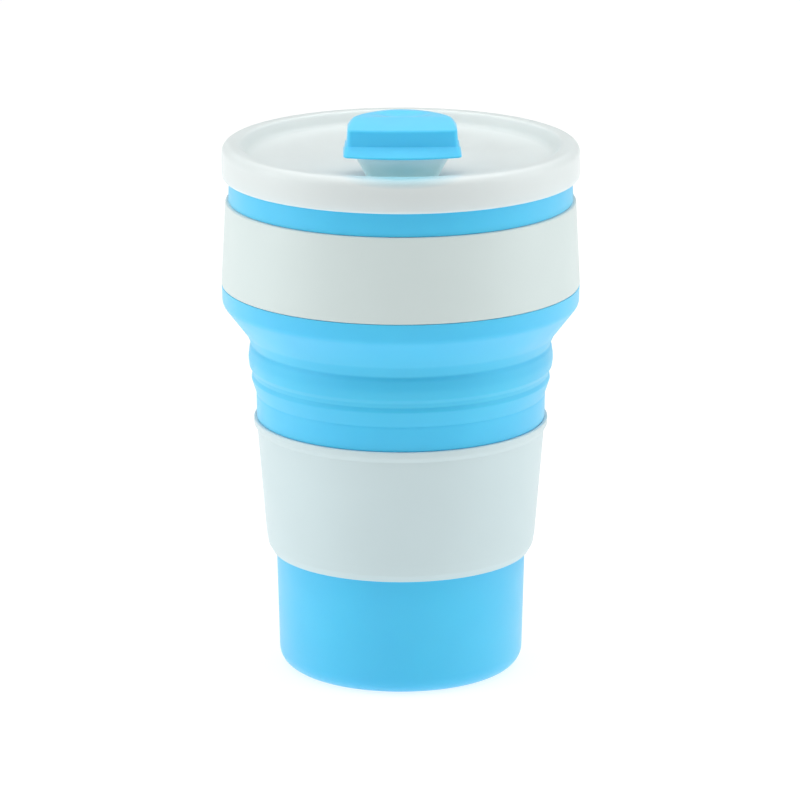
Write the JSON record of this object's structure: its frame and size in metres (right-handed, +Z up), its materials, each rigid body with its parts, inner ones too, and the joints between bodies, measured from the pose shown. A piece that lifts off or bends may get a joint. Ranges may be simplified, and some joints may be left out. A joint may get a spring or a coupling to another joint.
{
  "type": "collapsible travel cup",
  "caption": "Folding silicone travel cup with a plastic grip sleeve, a plastic support band, a sip lid with a spout, and a stopper; it telescopes down to store flat.",
  "frame": {"origin": "centre of the foot, on the surface that the cup stands on", "axes": "+Z up through the lid, -Y towards the spout and stopper, +X to the right as seen from the spout's side"},
  "size_m": [0.0956, 0.0956, 0.1562],
  "materials": {
    "silicone": "satin soft-touch silicone",
    "white_plastic": "satin moulded polypropylene",
    "frosted_plastic": "frosted natural polypropylene"
  },
  "bodies": {
    "base": {"lower_cup": "silicone", "lower_fold_web": "silicone"},
    "sleeve": {"grip_sleeve": "white_plastic"},
    "fold": {"fold_ring": "silicone"},
    "upper": {"upper_wall": "silicone", "support_band": "white_plastic", "upper_fold_web": "silicone"},
    "lid": {"lid": "frosted_plastic"},
    "stopper": {"stopper": "silicone"}
  },
  "joints": [
    {"name": "collapse", "type": "slide", "parent": "base", "child": "upper", "axis": [0, 0, -1], "range_m": [0, 0.052], "deforming": ["upper_fold_web"]},
    {"name": "fold_follow", "type": "slide", "parent": "base", "child": "fold", "axis": [0, 0, -1], "range_m": [0, 0.026], "deforming": ["lower_fold_web"]},
    {"name": "sleeve_slide", "type": "slide", "parent": "base", "child": "sleeve", "axis": [0, 0, -1], "range_m": [0, 0.0315]},
    {"name": "lid_lift", "type": "slide", "parent": "upper", "child": "lid", "axis": [0, 0, 1], "range_m": [0, 0.04]},
    {"name": "stopper_pull", "type": "slide", "parent": "lid", "child": "stopper", "axis": [0, 0, 1], "range_m": [0, 0.025]}
  ],
  "couplings": [
    {"joint": "fold_follow", "follows": "collapse", "ratio": 0.5}
  ]
}
